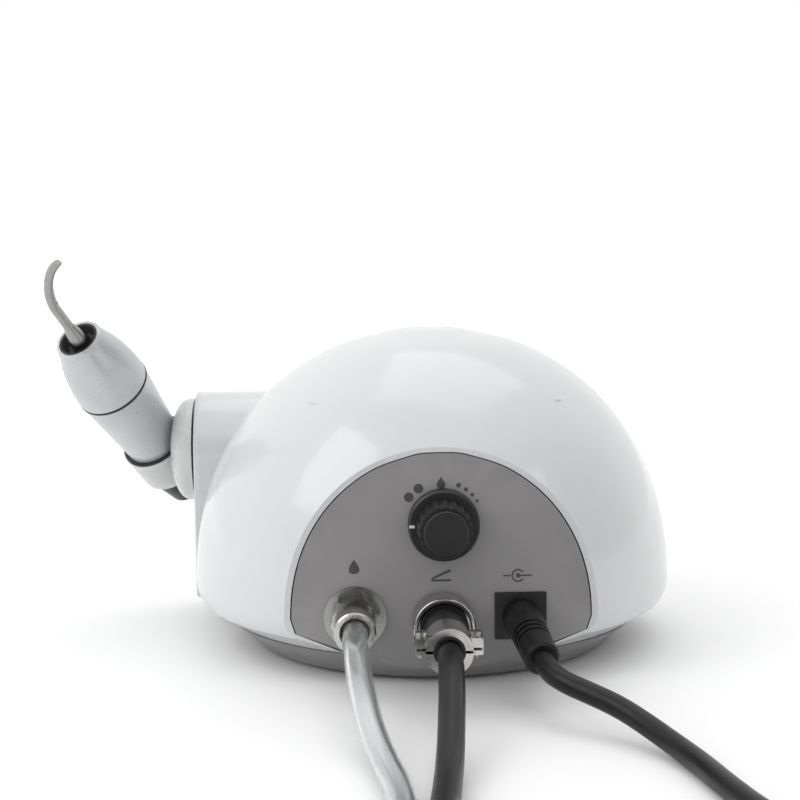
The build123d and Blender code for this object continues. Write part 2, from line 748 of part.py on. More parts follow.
with BuildPart() as inlet_nut:
    with BuildSketch(REAR.offset(0.8)):
        with Locations(INLET):
            RegularPolygon(6.5, 6, rotation=12)
            Circle(INLET_NECK_R, mode=Mode.SUBTRACT)
    extrude(amount=4.6)
finish(inlet_nut, "inlet_nut")

with BuildPart() as hose_nut:
    add(ring_on(REAR, INLET, INLET_NECK_R + PLAY, 5.9, 5.45, 1.55).part)
    add(ring_on(REAR, INLET, 3.6, 5.3, 7.05, HOSE_NUT_END - 7.05).part)
    add(ring_on(REAR, INLET, 4.1, 5.3, 7.0, 0.05).part)
    chamfer(hose_nut.faces().sort_by(Axis.Y)[0].edges(), length=0.35)
finish(hose_nut, "hose_nut")

# ---- rear panel: foot-switch connector ----
with BuildPart() as foot_socket:
    add(ring_on(REAR, FOOT_JACK, 0, 8, -PANEL_T - 1.5, 1.5).part)
    add(ring_on(REAR, FOOT_JACK, 0, FOOT_NECK_R, -PANEL_T - 9, PANEL_T + 12.2).part)
    add(ring_on(REAR, FOOT_JACK, FOOT_NECK_R, 7.3, 0, 0.8).part)
finish(foot_socket, "foot_socket")

with BuildPart() as coupling_ring:
    add(ring_on(REAR, FOOT_JACK, FOOT_NECK_R + PLAY, RING_R, 1.1, 4.4).part)
    add(ring_on(REAR, FOOT_JACK, 6.7, RING_R, 5.5, 3.5).part)
    fillet(coupling_ring.faces().sort_by(Axis.Y)[0].edges(), radius=0.45)
finish(coupling_ring, "coupling_ring")

with BuildPart() as foot_plug:
    add(ring_on(REAR, FOOT_JACK, 0, 6.2, 5.8, 2.2).part)
    add(ring_on(REAR, FOOT_JACK, 0, 5.5, 8, PLUG_END - 8).part)
    add(ring_on(REAR, FOOT_JACK, 0, 3.9, PLUG_END, CLAMP_END - PLUG_END).part)
    cable_seat = ring_on(REAR, FOOT_JACK, 0, FOOT_CABLE_R, PLUG_END - 2, 20)
    add(cable_seat.part, mode=Mode.SUBTRACT)
finish(foot_plug, "foot_plug")

with BuildPart() as cable_clamp:
    add(ring_on(REAR, FOOT_JACK, 3.9, 5.8, PLUG_END + 0.2, CLAMP_END - PLUG_END - 0.2).part)
    with BuildSketch(REAR.offset(PLUG_END + 3)):
        with Locations(FOOT_JACK):
            with Locations((6.1, 0.6), (-6.1, 0.6)):
                Rectangle(4.4, 4.2)
    extrude(amount=4.4)
    fillet(cable_clamp.edges().filter_by(Axis.Y), radius=0.5)
    with BuildSketch(REAR.offset(PLUG_END)):
        with Locations(FOOT_JACK):
            Rectangle(16, 0.7)
            Circle(3.9)
    extrude(amount=10, mode=Mode.SUBTRACT)
    with BuildSketch(CLAMP_TOP):
        with Locations((CLAMP_SCREW_X, 0), (-CLAMP_SCREW_X, 0)):
            Circle(0.85)
    extrude(amount=12, both=True, mode=Mode.SUBTRACT)
finish(cable_clamp, "cable_clamp")

with BuildPart() as clamp_screws:
    with BuildSketch(CLAMP_TOP.offset(2.7)):
        with Locations((CLAMP_SCREW_X, 0), (-CLAMP_SCREW_X, 0)):
            Circle(1.5)
    extrude(amount=1.3)
    with BuildSketch(CLAMP_TOP.offset(-2.4)):
        with Locations((CLAMP_SCREW_X, 0), (-CLAMP_SCREW_X, 0)):
            Circle(0.85)
    extrude(amount=5.1)
    with BuildSketch(CLAMP_TOP.offset(3.5)):
        with Locations((CLAMP_SCREW_X, 0), (-CLAMP_SCREW_X, 0)):
            Rectangle(3, 0.45)
    extrude(amount=1, mode=Mode.SUBTRACT)
finish(clamp_screws, "clamp_screws")

# ---- rear panel: power socket and its moulded plug ----
with BuildPart() as power_socket:
    with BuildSketch(REAR.offset(-11)):
        with Locations(POWER_JACK):
            Rectangle(JACK_W - 1, JACK_H - 1)
    extrude(amount=11)
    with BuildSketch(REAR):
        with Locations(POWER_JACK):
            RectangleRounded(JACK_W, JACK_H, 0.4)
    extrude(amount=0.5)
    with BuildSketch(REAR.offset(-9)):
        with Locations(POWER_JACK):
            Circle(3)
            Circle(1.1, mode=Mode.SUBTRACT)
    extrude(amount=12, mode=Mode.SUBTRACT)
    with BuildSketch(REAR.offset(0.4)):
        with Locations(POWER_JACK):
            Circle(3)
    extrude(amount=2, mode=Mode.SUBTRACT)
finish(power_socket, "power_socket")

power_plug = ring_on(REAR, POWER_JACK, 1.15, 2.75, -8.8, 13)
finish(power_plug, "power_plug")

with BuildPart() as power_boot:
    with BuildSketch(BOOT_CUT):
        with BuildLine():
            Polyline((0, BOOT_START), (4.3, BOOT_START), (4.9, 1.6), (4.95, 7), (4.7, 11.5))
            Line((4.7, 11.5), (4.4, BOOT_LENGTH - 0.6))
            Polyline((4.4, BOOT_LENGTH - 0.6), (3.8, BOOT_LENGTH), (0, BOOT_LENGTH))
            Line((0, BOOT_LENGTH), (0, BOOT_START))
        make_face()
    revolve(axis=BOOT_LINE)
    with BuildSketch(BOOT_CUT):
        with Locations((4.9, 13), (4.85, 15.2), (4.8, 17.4)):
            Rectangle(1.5, 0.8)
    revolve(axis=BOOT_LINE, mode=Mode.SUBTRACT)
    add(ring_on(REAR, POWER_JACK, 0, 2.75, -8.8, 13).part, mode=Mode.SUBTRACT)
finish(power_boot, "power_boot")

# ---- operator's side: fascia, keys and display ----
with BuildPart() as front_fascia:
    with BuildSketch(FASCIA):
        Circle(FASCIA_R)
        with Locations(*KEY_PLACES.values()):
            Circle(KEY_R + 0.2, mode=Mode.SUBTRACT)
        with Locations(*LIGHT_PLACES):
            Circle(LIGHT_R, mode=Mode.SUBTRACT)
        with Locations(WINDOW_PLACE):
            RectangleRounded(WINDOW_W, WINDOW_H, 1.5, mode=Mode.SUBTRACT)
    extrude(amount=FASCIA_T)
    fillet(front_fascia.faces().sort_by(FASCIA_LINE)[-1].outer_wire().edges(), radius=0.5)
finish(front_fascia, "front_fascia")

with BuildPart() as display_window:
    with BuildSketch(FASCIA):
        with Locations(WINDOW_PLACE):
            RectangleRounded(WINDOW_W, WINDOW_H, 1.5)
    extrude(amount=FASCIA_T + 0.1)
finish(display_window, "display_window")

with BuildPart() as status_lights:
    with BuildSketch(FASCIA.offset(MAT_TOP)):
        with Locations(*LIGHT_PLACES):
            Circle(LIGHT_R)
    extrude(amount=FASCIA_T + 0.2 - MAT_TOP)
finish(status_lights, "status_lights")

for key_name, key_place in KEY_PLACES.items():
    with BuildPart() as key:
        add(ring_on(FASCIA, key_place, 0, KEY_R + 0.9, -1.8, 1.1).part)
        add(ring_on(FASCIA, key_place, 0, KEY_R, -0.7, FASCIA_T + 1.7).part)
        fillet(key.faces().sort_by(FASCIA_LINE)[-1].edges(), radius=0.5)
    finish(key, key_name)

with BuildPart() as keypad_mat:
    add(ring_on(FASCIA, (0, 0), 0, BOARD_R, MAT_TOP - 1, 1).part)
    for key_place in KEY_PLACES.values():
        add(ring_on(FASCIA, key_place, 0, 2.4, MAT_TOP, 0.8).part)
finish(keypad_mat, "keypad_mat")

control_board = ring_on(FASCIA, (0, 0), 0, BOARD_R, MAT_TOP - 2.6, 1.6)
finish(control_board, "control_board")

with BuildPart() as cord_inlet:
    add(ring_on(OUTLET, (0, 0), 1.6, 5, OUTLET_REACH, OUTLET_SEAT - OUTLET_REACH).part)
    add(ring_on(OUTLET, (0, 0), 1.6, 7.4, OUTLET_SEAT, 3.6).part)
    fillet(cord_inlet.faces().sort_by(OUTLET_LINE)[-1].outer_wire().edges(), radius=0.8)
    add(ring_on(OUTLET, (0, 0), 0, 4.2, OUTLET_SEAT - 4, 9).part, mode=Mode.SUBTRACT)
finish(cord_inlet, "cord_inlet")

# ---- cords: clear water hose, foot-switch cable and power lead ----
HOSE_ROUTE = [
    (INLET[0], PANEL_Y - HOSE_START, INLET[1]),
    (INLET[0], -80.0, INLET[1]),
    (-21.3, -95.0, 13.0),
    (-19.2, -109.0, 7.0),
    (-16.2, -123.0, 3.6),
    (-13.4, -138.0, 3.2),
    (-12.9, -152.0, 3.2),
    (-13.8, -167.0, 3.2),
    (-16.0, -184.0, 3.2),
    (-17.4, -201.0, 3.2),
    (-17.6, -218.0, 3.2),
]
HOSE_TAIL = [
    (-17.6, -218.0, 9.6),
    (-18.4, -231.0, 12.2),
    (-22.5, -242.5, 15.6),
    (-31.5, -251.0, 17.6),
    (-43.5, -255.3, 18.2),
    (-56.0, -255.8, 18.2),
]
FOOT_ROUTE = [
    (FOOT_JACK[0], PANEL_Y - PLUG_END + 2, FOOT_JACK[1]),
    (FOOT_JACK[0], -89.0, FOOT_JACK[1]),
    (-0.1, -102.0, 13.6),
    (-1.0, -114.0, 9.0),
    (-2.0, -126.0, 5.0),
    (-3.4, -139.0, 3.1),
    (-5.0, -153.0, 3.1),
    (-7.2, -169.0, 3.1),
    (-8.4, -187.0, 3.1),
    (-8.2, -206.0, 3.1),
    (-7.4, -226.0, 3.1),
    (-7.6, -247.0, 3.1),
    (-8.6, -268.0, 3.1),
    (-8.6, -290.0, 3.1),
    (-8.0, -311.5, 3.1),
]
FOOT_TAIL = [
    (-96.6, -311.5, 9.3),
    (-97.0, -299.0, 10.8),
    (-96.4, -286.4, 13.2),
    (-92.3, -276.0, 15.8),
    (-84.3, -268.0, 18.0),
    (-73.9, -263.8, 19.6),
    (-62.7, -263.7, 20.3),
    (-52.3, -268.0, 20.4),
    (-44.3, -276.0, 20.4),
    (PEDAL_X, -286.6, 20.4),
    (PEDAL_X, PEDAL_GLAND_Y, 20.4),
]
POWER_ROUTE = [
    (BOOT_END.X, BOOT_END.Y, BOOT_END.Z),
    (23.95, -85.86, 11.98),
    (27.2, -91.2, 10.7),
    (32.6, -95.6, 9.3),
    (38.8, -100.6, 7.4),
    (44.0, -107.5, 5.2),
    (48.8, -116.0, 3.2),
    (52.2, -127.0, 2.7),
    (54.6, -140.0, 2.65),
    (57.6, -153.0, 2.65),
    (61.8, -166.0, 2.65),
    (68.4, -178.0, 2.65),
    (74.6, -191.0, 2.65),
    (76.95, -206.0, 2.65),
]
POWER_TAIL = [
    (76.95, -206.0, 7.95),
    (76.4, -218.5, 7.9),
    (73.2, -231.0, 7.7),
    (67.4, -242.5, 7.5),
    (ADAPTOR_X, -254.0, 7.5),
    (ADAPTOR_X, ADAPTOR_GLAND_Y, 7.5),
]


def bend_radii(name, points, radius):
    """Radius of each arc of a cord's tube: as large as its two runs allow."""
    places = [Vector(*point) for point in points]
    radii = []
    for before, corner, after in zip(places, places[1:], places[2:]):
        run_in = corner - before
        run_out = after - corner
        turn = radians(run_in.get_angle(run_out))
        radii.append(0.45 * min(run_in.length, run_out.length) / tan(turn / 2))
    print(name, "tightest bend in diameters:", round(min(radii) / (2 * radius), 1))
    return radii


def cord_tube(name, points, radius):
    """A cord's plain round tube, checked against its section times its length."""
    with BuildPart() as tube:
        with BuildLine() as route:
            FilletPolyline(*points, radius=bend_radii(name, points, radius))
        with BuildSketch(Plane(origin=points[0], z_dir=route.wires()[0] % 0)):
            Circle(radius)
        sweep()
    filled = tube.part.volume / (pi * radius**2 * route.wires()[0].length)
    print(name, "length", round(route.wires()[0].length, 1), "volume share", round(filled, 4))
    return tube


def coil_ring(centre, mean_r, turns_wide, turns_high, radius):
    """The closed outer shape of a coil that lies flat on the table."""
    with BuildPart() as ring:
        with BuildSketch(Plane.XY):
            with Locations(centre):
                Circle(mean_r + turns_wide * radius)
                Circle(mean_r - turns_wide * radius, mode=Mode.SUBTRACT)
        extrude(amount=2 * turns_high * radius)
        fillet(ring.edges(), radius=0.6 * radius)
    return ring


def cord_pieces(name, run, tail, radius, coil):
    """Write a cord's two open stretches, which run into its coil, and the coil itself."""
    finish(coil, name + "_coil")
    with BuildPart() as stretches:
        add(cord_tube(name + " run", run, radius).part)
        add(cord_tube(name + " tail", tail, radius).part)
    finish(stretches, name + "_tube")


cord_pieces("hose", HOSE_ROUTE, HOSE_TAIL, HOSE_R, coil_ring((-60, -218), 36, 3, 2, HOSE_R))
cord_pieces(
    "foot_cable",
    FOOT_ROUTE,
    FOOT_TAIL,
    FOOT_CABLE_R,
    coil_ring((-52.3, -311.5), 35, 4, 2, FOOT_CABLE_R),
)
cord_pieces(
    "power_lead",
    POWER_ROUTE,
    POWER_TAIL,
    POWER_CABLE_R,
    coil_ring((39, -206), 30, 4, 2, POWER_CABLE_R),
)

# ---- far ends of the cords ----
HOSE_END = Vector(*HOSE_TAIL[-1])
HOSE_WAY = (HOSE_END - Vector(*HOSE_TAIL[-2])).normalized()
HOSE_END_CUT = Plane(origin=HOSE_END, x_dir=(0, 0, 1), z_dir=Vector(0, 0, 1).cross(HOSE_WAY))
hose_coupler = turned(
    HOSE_END_CUT,
    Axis(HOSE_END, HOSE_WAY),
    [
        (2, 0),
        (3.9, 0),
        (4.7, 1.2),
        (4.7, 7),
        (5.4, 7.6),
        (5.4, 15),
        (4.2, 15.8),
        (4.2, 22),
        (3.4, 27),
        (2, 27),
    ],
)
finish(hose_coupler, "hose_coupler")

with BuildPart() as pedal_base:
    with BuildSketch(Plane.XY.offset(PEDAL_Z)):
        with Locations((PEDAL_X, PEDAL_MID_Y)):
            RectangleRounded(PEDAL_W, PEDAL_L, 8)
    extrude(amount=PEDAL_BASE_H)
    fillet(pedal_base.faces().sort_by(Axis.Z)[-1].edges(), radius=1.5)
    with BuildSketch(Plane.XY.offset(PEDAL_Z + PEDAL_FLOOR_T)):
        with Locations((PEDAL_X, PEDAL_MID_Y)):
            RectangleRounded(PEDAL_W - 7, PEDAL_L - 7, 5)
    extrude(amount=PEDAL_BASE_H, mode=Mode.SUBTRACT)
    with BuildSketch(Plane.YZ.offset(PEDAL_X)):
        with Locations((PEDAL_HINGE_Y, PEDAL_HINGE_Z - 4)):
            RectangleRounded(8, 16, 3)
    extrude(amount=PEDAL_W / 2 - 0.6, both=True)
    with BuildSketch(Plane.XY.offset(PEDAL_HINGE_Z - 8)):
        with Locations((PEDAL_X, PEDAL_HINGE_Y)):
            Rectangle(PEDAL_TOP_W + 0.6, 14)
    extrude(amount=20, mode=Mode.SUBTRACT)
    with BuildSketch(Plane.YZ.offset(PEDAL_X)):
        with Locations((PEDAL_HINGE_Y, PEDAL_HINGE_Z)):
            Circle(PEDAL_PIN_R + PLAY)
    extrude(amount=PEDAL_W, both=True, mode=Mode.SUBTRACT)
    with BuildSketch(Plane.XZ.offset(-PEDAL_GLAND_Y)):
        with Locations((PEDAL_X, FOOT_TAIL[-1][2])):
            Circle(4.6)
    extrude(amount=4)
finish(pedal_base, "pedal_base")

with BuildPart() as pedal_top:
    with BuildSketch(PEDAL_PLANE.offset(-3)):
        with Locations((0, 5 - PEDAL_TOP_L / 2)):
            RectangleRounded(PEDAL_TOP_W, PEDAL_TOP_L, 5)
    extrude(amount=6)
    fillet(pedal_top.faces().sort_by(Axis.Z)[-1].edges(), radius=1.5)
    with BuildSketch(PEDAL_PLANE.offset(2.3)):
        with Locations((0, -PEDAL_TOP_L / 2)):
            with GridLocations(0, 5, 1, 8):
                SlotOverall(40, 2)
    extrude(amount=1, mode=Mode.SUBTRACT)
    with BuildSketch(Plane.YZ.offset(PEDAL_X)):
        with Locations((PEDAL_HINGE_Y, PEDAL_HINGE_Z)):
            Circle(PEDAL_PIN_R)
    extrude(amount=PEDAL_TOP_W / 2 + 3, both=True)
finish(pedal_top, "pedal_top")

with BuildPart() as pedal_spring:
    with BuildSketch(Plane.XY.offset(PEDAL_Z + PEDAL_FLOOR_T)):
        with Locations((PEDAL_X, PEDAL_SPRING_Y)):
            Circle(PEDAL_SPRING_R)
            Circle(PEDAL_SPRING_R - 1.2, mode=Mode.SUBTRACT)
    extrude(amount=PEDAL_SPRING_H)
finish(pedal_spring, "pedal_spring")

with BuildPart() as wall_adaptor:
    with BuildSketch(Plane.XY):
        with Locations((ADAPTOR_X, ADAPTOR_GLAND_Y - 4 - ADAPTOR_L / 2)):
            RectangleRounded(ADAPTOR_W, ADAPTOR_L, 4)
    extrude(amount=ADAPTOR_H)
    fillet(wall_adaptor.faces().sort_by(Axis.Z)[-1].edges(), radius=2)
    with BuildSketch(Plane.XZ.offset(-ADAPTOR_GLAND_Y)):
        with Locations((ADAPTOR_X, 7.5)):
            Circle(3.6)
    extrude(amount=5)
    with BuildSketch(Plane.XZ.offset(3 + ADAPTOR_L - ADAPTOR_GLAND_Y)):
        with Locations((ADAPTOR_X - 9.5, ADAPTOR_H / 2), (ADAPTOR_X + 9.5, ADAPTOR_H / 2)):
            Circle(2)
    extrude(amount=20)
finish(wall_adaptor, "wall_adaptor")
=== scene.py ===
import math

import bmesh
import bpy
from mathutils import Matrix, Vector
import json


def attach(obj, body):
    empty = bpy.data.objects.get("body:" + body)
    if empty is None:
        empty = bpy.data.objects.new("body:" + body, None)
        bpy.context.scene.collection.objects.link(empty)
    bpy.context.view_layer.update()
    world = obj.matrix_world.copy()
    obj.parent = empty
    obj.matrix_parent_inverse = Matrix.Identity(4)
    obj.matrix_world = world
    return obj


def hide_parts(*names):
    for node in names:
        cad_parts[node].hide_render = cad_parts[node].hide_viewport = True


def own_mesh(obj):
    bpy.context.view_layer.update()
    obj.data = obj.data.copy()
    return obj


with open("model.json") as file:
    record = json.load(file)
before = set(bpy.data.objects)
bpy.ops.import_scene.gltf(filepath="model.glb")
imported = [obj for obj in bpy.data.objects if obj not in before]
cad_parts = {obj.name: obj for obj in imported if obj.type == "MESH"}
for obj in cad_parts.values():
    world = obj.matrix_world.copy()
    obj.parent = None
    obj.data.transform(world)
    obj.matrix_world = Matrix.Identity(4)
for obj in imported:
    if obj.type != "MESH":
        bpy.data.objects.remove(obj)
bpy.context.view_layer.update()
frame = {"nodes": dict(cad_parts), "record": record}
nodes = frame["nodes"]
MM = 0.001


def mm(*point):
    """A point given in millimetres, in metres."""
    return Vector(point) * MM


def linked(name, data):
    """A new object for this data, linked to the scene."""
    made = bpy.data.objects.new(name, data)
    bpy.context.scene.collection.objects.link(made)
    return made


# ---- camera ----
LENS = 70.4
SENSOR = 36.0
CAMERA_PLACE = mm(-20.41, -450.04, 118.52)
# the picture's right and up, not quite square to each other until they are used below
CAMERA_RIGHT = Vector((0.9996, -0.0275, -0.0117))
CAMERA_UP = Vector((0.0146, 0.1106, 0.9938))
CLIP_START = 0.01

camera_data = bpy.data.cameras.new("camera")
camera_data.lens = LENS
camera_data.sensor_width = SENSOR
camera_data.clip_start = CLIP_START
camera = linked("camera", camera_data)
camera_back = CAMERA_RIGHT.cross(CAMERA_UP).normalized()
camera_right = CAMERA_UP.cross(camera_back).normalized()
camera_turn = Matrix((camera_right, camera_back.cross(camera_right), camera_back)).transposed()
camera.matrix_world = Matrix.Translation(CAMERA_PLACE) @ camera_turn.to_4x4()
bpy.context.scene.camera = camera


# ---- cords ----
COIL_STEPS = 24
STEP_START = 0.75


def coil_turns(centre, lanes, turns, radius, first_layer):
    """Points of a coil wound clockwise from +X, in millimetres.

    There is a lane, a radius of the coil, for each turn. The last quarter of a turn steps gently
    over to the next lane, and first_layer is the number of lanes that lie on the floor.
    """
    points = []
    for step in range(round(turns * COIL_STEPS) + 1):
        lane = min(step // COIL_STEPS, len(lanes) - 1)
        part = (step % COIL_STEPS) / COIL_STEPS
        shift = max(0.0, (part - STEP_START) / (1 - STEP_START))
        shift = shift * shift * (3 - 2 * shift)
        here = lanes[lane]
        there = lanes[min(lane + 1, len(lanes) - 1)]
        around = -2 * math.pi * step / COIL_STEPS
        lane_r = here + (there - here) * shift
        level = 1 if lane < first_layer else 3
        rise = 2 * shift if lane == first_layer - 1 else 0
        points.append(
            (
                centre[0] + lane_r * math.cos(around),
                centre[1] + lane_r * math.sin(around),
                (level + rise) * radius,
            )
        )
    return points


LINE_STEPS = 8
BEVEL_STEPS = 7


def soft_line(name, points, radius):
    """A round cord along a smooth spline with these points, given in millimetres."""
    data = bpy.data.curves.new(name, "CURVE")
    data.dimensions = "3D"
    data.resolution_u = LINE_STEPS
    data.bevel_depth = radius * MM
    data.bevel_resolution = BEVEL_STEPS
    data.use_fill_caps = True
    spline = data.splines.new("NURBS")
    spline.points.add(len(points) - 1)
    for spot, point in zip(spline.points, points):
        spot.co = (*mm(*point), 1)
    spline.order_u = 3
    spline.use_endpoint_u = True
    return linked(name, data)


# each cord in millimetres: its radius, the run from the unit to its coil, the coil's centre and
# lanes, and the tail from the coil to the piece at its far end
HOSE_R = 3.2
HOSE_WALL = 1.1
HOSE_RUN = [
    (-22.3, -67.3, 18.2),
    (-22.3, -80.0, 18.2),
    (-21.3, -95.0, 13.0),
    (-19.2, -109.0, 7.0),
    (-16.2, -123.0, 3.6),
    (-13.4, -138.0, 3.2),
    (-12.9, -152.0, 3.2),
    (-13.8, -167.0, 3.2),
    (-16.0, -184.0, 3.2),
    (-17.4, -201.0, 3.2),
]
HOSE_TAIL = [
    (-18.4, -231.0, 12.2),
    (-22.5, -242.5, 15.6),
    (-31.5, -251.0, 17.6),
    (-43.5, -255.3, 18.2),
    (-56.0, -255.8, 18.2),
]
HOSE_COIL = (-60, -218)
HOSE_LANES = [42.4, 36.0, 29.6, 29.6, 36.0, 42.4]
HOSE_TURNS = 5

FOOT_R = 3.1
FOOT_RUN = [
    (0.4, -72.8, 16.7),
    (0.4, -89.0, 16.7),
    (-0.1, -102.0, 13.6),
    (-1.0, -114.0, 9.0),
    (-2.0, -126.0, 5.0),
    (-3.4, -139.0, 3.1),
    (-5.0, -153.0, 3.1),
    (-7.2, -169.0, 3.1),
    (-8.4, -187.0, 3.1),
    (-8.2, -206.0, 3.1),
    (-7.4, -226.0, 3.1),
    (-7.6, -247.0, 3.1),
    (-8.6, -268.0, 3.1),
    (-8.6, -290.0, 3.1),
]
FOOT_TAIL = [
    (-97.0, -299.0, 10.8),
    (-96.4, -286.4, 13.2),
    (-92.3, -276.0, 15.8),
    (-84.3, -268.0, 18.0),
    (-73.9, -263.8, 19.6),
    (-62.7, -263.7, 20.3),
    (-52.3, -268.0, 20.4),
    (-44.3, -276.0, 20.4),
    (-40.0, -286.6, 20.4),
    (-40.0, -298.0, 20.4),
]
FOOT_COIL = (-52.3, -311.5)
FOOT_LANES = [44.3, 38.1, 31.9, 25.7, 25.7, 31.9, 38.1, 44.3]
FOOT_TURNS = 7.5

POWER_R = 2.65
POWER_RUN = [
    (23.3, -80.0, 13.1),
    (23.95, -85.86, 11.98),
    (27.2, -91.2, 10.7),
    (32.6, -95.6, 9.3),
    (38.8, -100.6, 7.4),
    (44.0, -107.5, 5.2),
    (48.8, -116.0, 3.2),
    (52.2, -127.0, 2.7),
    (54.6, -140.0, 2.65),
    (57.6, -153.0, 2.65),
    (61.8, -166.0, 2.65),
    (68.4, -178.0, 2.65),
    (74.6, -191.0, 2.65),
]
POWER_TAIL = [
    (76.4, -218.5, 7.9),
    (73.2, -231.0, 7.7),
    (67.4, -242.5, 7.5),
    (63.0, -254.0, 7.5),
    (63.0, -266.0, 7.5),
]
POWER_COIL = (39, -206)
POWER_LANES = [37.95, 32.65, 27.35, 22.05, 22.05, 27.35, 32.65, 37.95]
POWER_TURNS = 7

hose_turns = coil_turns(HOSE_COIL, HOSE_LANES, HOSE_TURNS, HOSE_R, 3)
foot_turns = coil_turns(FOOT_COIL, FOOT_LANES, FOOT_TURNS, FOOT_R, 4)
power_turns = coil_turns(POWER_COIL, POWER_LANES, POWER_TURNS, POWER_R, 4)
hose = soft_line("water_hose", HOSE_RUN + hose_turns + HOSE_TAIL, HOSE_R)
hose.data.use_fill_caps = False
foot_lead = soft_line("foot_lead", FOOT_RUN + foot_turns + FOOT_TAIL, FOOT_R)
power_lead = soft_line("power_lead", POWER_RUN + power_turns + POWER_TAIL, POWER_R)


# ---- materials ----
class Wiring:
    """Short names for adding and joining a material's nodes."""

    def __init__(self, name):
        self.material = bpy.data.materials.new(name)
        self.material.use_nodes = True
        self.nodes = self.material.node_tree.nodes
        self.shader = self.nodes["Principled BSDF"]
        self.place = self.add("ShaderNodeTexCoord").outputs["Object"]

    def add(self, kind, **settings):
        node = self.nodes.new(kind)
        for key, value in settings.items():
            setattr(node, key, value)
        return node

    def join(self, source, target):
        self.material.node_tree.links.new(source, target)

    def noise(self, size, detail, stretch=(1, 1, 1)):
        """Noise whose features are about size metres across, drawn out along an axis."""
        mapping = self.add("ShaderNodeMapping")
        mapping.inputs["Scale"].default_value = [part / size for part in stretch]
        self.join(self.place, mapping.inputs["Vector"])
        noise = self.add("ShaderNodeTexNoise")
        noise.inputs["Scale"].default_value = 1.0
        noise.inputs["Detail"].default_value = detail
        self.join(mapping.outputs["Vector"], noise.inputs["Vector"])
        return noise.outputs["Fac"]

    def ranged(self, value, low, high, start=0.3, stop=0.7):
        """A value that runs from low to high as the given one runs from start to stop."""
        span = self.add("ShaderNodeMapRange")
        span.inputs["From Min"].default_value = start
        span.inputs["From Max"].default_value = stop
        span.inputs["To Min"].default_value = low
        span.inputs["To Max"].default_value = high
        self.join(value, span.inputs["Value"])
        return span.outputs["Result"]

    def mixed(self, factor, first, second):
        """A colour between two, each a colour or another node's output."""
        mix = self.add("ShaderNodeMix", data_type="RGBA")
        self.join(factor, mix.inputs["Factor"])
        for socket, colour in ((mix.inputs["A"], first), (mix.inputs["B"], second)):
            if isinstance(colour, bpy.types.NodeSocket):
                self.join(colour, socket)
            else:
                socket.default_value = (*colour, 1)
        return mix.outputs["Result"]


def scaled(colour, amount):
    """The colour, lighter or darker by this factor."""
    return tuple(min(1.0, part * amount) for part in colour)


COAT_ROUGH = 0.06
BUMP_DEPTH = 0.00006
LEAST_ROUGH = 0.02


def finish(
    name,
    colour,
    rough,
    metal=0.0,
    coat=0.0,
    spread=0.05,
    patch=0.02,
    grain=0.15,
    grain_size=0.0005,
    stretch=(1, 1, 1),
    wear_and_edge_highlight=0.0,
    rough_spread=0.06,
    dust=0.0,
    shine=0.5,
):
    """A surface with mottled colour, uneven gloss, fine grain, edges lightened as wear and as a
    painted highlight, and dust.

    spread is how far the colour strays, patch and grain_size are the sizes of the blotches and
    of the grain in metres, and grain is how strongly the grain stands out.
    """
    made = Wiring(name)
    shader = made.shader
    shader.inputs["Metallic"].default_value = metal
    shader.inputs["Coat Weight"].default_value = coat
    shader.inputs["Coat Roughness"].default_value = COAT_ROUGH
    shader.inputs["Specular IOR Level"].default_value = shine
    blotches = made.ranged(made.noise(patch, 3.0), 0, 1)
    tint = made.mixed(blotches, scaled(colour, 1 - spread), scaled(colour, 1 + spread))
    fine = made.noise(grain_size, 4.0, stretch)
    specks = made.ranged(fine, 0, 0.35, 0.35, 0.75)
    tint = made.mixed(specks, tint, scaled(colour, 1 - 1.5 * spread))
    # painted highlight: convex edges, found by pointiness, are made lighter; this stands partly
    # for edge wear and partly for light caught on rounded edges
    if wear_and_edge_highlight:
        edges = made.add("ShaderNodeNewGeometry").outputs["Pointiness"]
        worn_and_highlit_edges = made.ranged(edges, 0, wear_and_edge_highlight, 0.52, 0.6)
        tint = made.mixed(worn_and_highlit_edges, tint, scaled(colour, 1.5 + wear_and_edge_highlight))
    if dust:
        dirt = made.ranged(made.noise(patch * 0.35, 6.0), 0, dust, 0.5, 0.75)
        tint = made.mixed(dirt, tint, scaled(colour, 0.7))
    made.join(tint, shader.inputs["Base Color"])
    smoothest = max(LEAST_ROUGH, rough - rough_spread)
    gloss = made.ranged(made.noise(patch * 0.6, 4.0), smoothest, rough + rough_spread)
    made.join(gloss, shader.inputs["Roughness"])
    bump = made.add("ShaderNodeBump")
    bump.inputs["Strength"].default_value = grain
    bump.inputs["Distance"].default_value = BUMP_DEPTH
    made.join(fine, bump.inputs["Height"])
    made.join(bump.outputs["Normal"], shader.inputs["Normal"])
    return made.material


HOSE_CLEAR = 0.92
HOSE_IOR = 1.42


def clear(name, colour, rough):
    """A clear plastic with a faint haze."""
    material = finish(name, colour, rough, spread=0.02, grain=0.08, rough_spread=0.03)
    shader = material.node_tree.nodes["Principled BSDF"]
    shader.inputs["Transmission Weight"].default_value = HOSE_CLEAR
    shader.inputs["IOR"].default_value = HOSE_IOR
    return material


